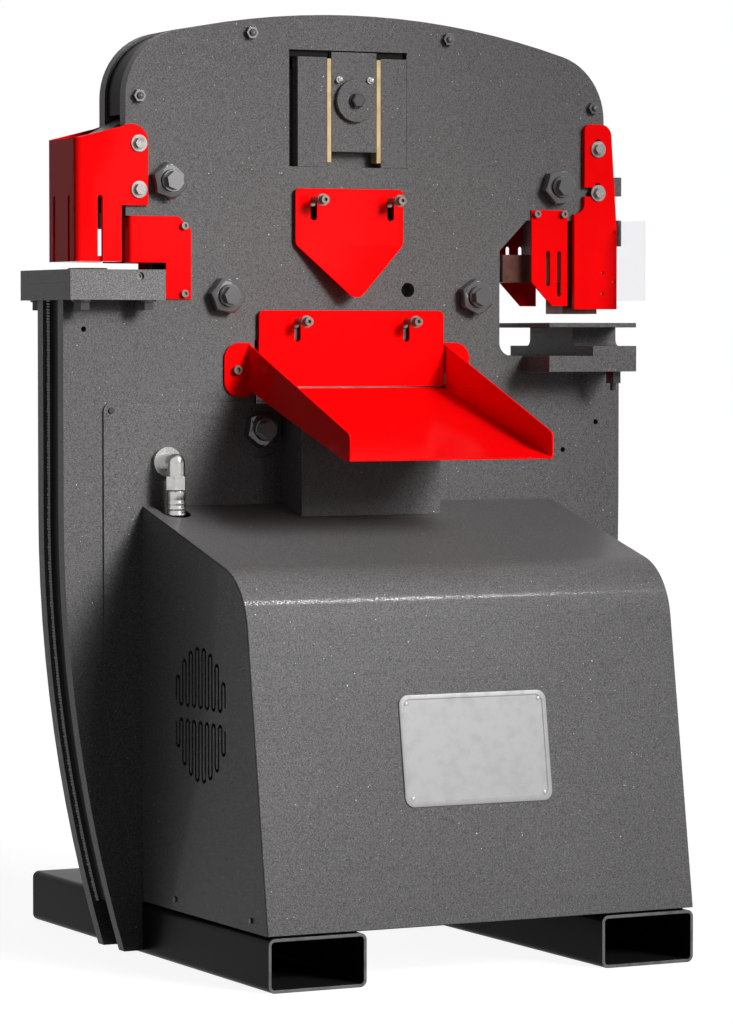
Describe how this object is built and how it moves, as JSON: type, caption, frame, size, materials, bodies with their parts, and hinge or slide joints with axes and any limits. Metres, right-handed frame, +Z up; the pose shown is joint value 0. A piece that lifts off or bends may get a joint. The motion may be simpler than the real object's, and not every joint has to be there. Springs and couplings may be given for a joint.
{
  "type": "ironworker",
  "caption": "A dark grey hydraulic ironworker with a punch, an angle shear, a flat bar shear and a notcher, red guards and a front tray, standing on two black tubes.",
  "frame": {"origin": "floor under the middle of the base tubes", "axes": "x right as seen from the front, y to the back, z up"},
  "size_m": [0.944, 0.848, 1.383],
  "materials": {
    "frame_paint": "dark grey metallic powder coat with a fine wrinkle",
    "black_paint": "glossy black paint",
    "red_paint": "glossy red powder coat",
    "fastener_paint": "dark grey paint over steel fasteners",
    "zinc_steel": "zinc plated steel",
    "machined_steel": "machined steel, lightly oiled",
    "tool_steel": "ground and tempered tool steel",
    "rod_chrome": "hard chrome",
    "gib_brass": "machined brass",
    "motor_paint": "painted grey castings",
    "hose_rubber": "smooth black rubber",
    "clear_plastic": "clear polycarbonate sheet"
  },
  "bodies": {
    "machine_frame": {"front_plate": "frame_paint", "rear_plate": "frame_paint", "left_tube": "black_paint", "right_tube": "black_paint", "jaw_webs": "black_paint", "top_band": "black_paint", "band_bolts": "fastener_paint", "tie_rods": "fastener_paint", "tie_nuts": "fastener_paint", "gib_blocks": "frame_paint", "brass_gibs": "gib_brass", "lower_shear_blade": "tool_steel", "lower_angle_blade": "tool_steel", "punch_bolster": "frame_paint", "punch_table": "frame_paint", "punch_die": "tool_steel", "hex_bolts": "zinc_steel", "socket_screws": "zinc_steel", "guard_studs": "fastener_paint", "throat_guards": "red_paint", "shear_tray": "red_paint", "front_cylinder_box": "frame_paint", "rear_cylinder_box": "frame_paint", "cylinder_barrel": "frame_paint", "cylinder_gland": "machined_steel", "cylinder_pin": "machined_steel", "access_panel": "frame_paint", "panel_screws": "fastener_paint", "hose_elbow": "zinc_steel", "hose": "hose_rubber", "cover_shell": "frame_paint", "cover_left_side": "frame_paint", "cover_right_side": "frame_paint", "power_pan": "black_paint", "reservoir": "black_paint", "motor": "motor_paint", "bell_housing": "black_paint", "pump": "motor_paint", "valve_block": "zinc_steel", "notcher_brackets": "frame_paint", "notcher_die": "frame_paint", "notcher_table": "frame_paint", "notch_guards": "red_paint", "end_shield": "clear_plastic", "shield_bracket": "black_paint"},
    "ram": {"ram_plate": "machined_steel", "slide_blocks": "machined_steel", "ram_pin": "machined_steel", "upper_shear_blade": "tool_steel", "upper_angle_blade": "tool_steel", "punch_holder": "machined_steel", "punch": "tool_steel", "notch_punch": "tool_steel", "piston_rod": "rod_chrome", "rod_pin": "machined_steel"},
    "punch_guard_body": {"punch_guard": "red_paint"},
    "angle_guard_body": {"angle_guard": "red_paint"},
    "shear_guard_body": {"shear_guard": "red_paint"},
    "notcher_guard_body": {"notcher_guard": "red_paint"},
    "coupling_body": {"shaft_coupling": "machined_steel"}
  },
  "joints": [
    {"name": "ram_stroke", "type": "slide", "parent": "machine_frame", "child": "ram", "axis": [0, 0, 1], "range_m": [-0.02, 0]},
    {"name": "punch_guard_height", "type": "slide", "parent": "machine_frame", "child": "punch_guard_body", "axis": [0, 0, 1], "range_m": [-0.008, 0]},
    {"name": "angle_guard_lift", "type": "slide", "parent": "machine_frame", "child": "angle_guard_body", "axis": [0, 0, 1], "range_m": [0, 0.024]},
    {"name": "shear_guard_lift", "type": "slide", "parent": "machine_frame", "child": "shear_guard_body", "axis": [0, 0, 1], "range_m": [0, 0.024]},
    {"name": "notcher_guard_height", "type": "slide", "parent": "machine_frame", "child": "notcher_guard_body", "axis": [0, 0, 1], "range_m": [-0.01, 0]},
    {"name": "coupling_spin", "type": "hinge", "parent": "machine_frame", "child": "coupling_body", "pos_m": [0.055, -0.196, 0.427], "axis": [1, 0, 0], "continuous": true}
  ]
}
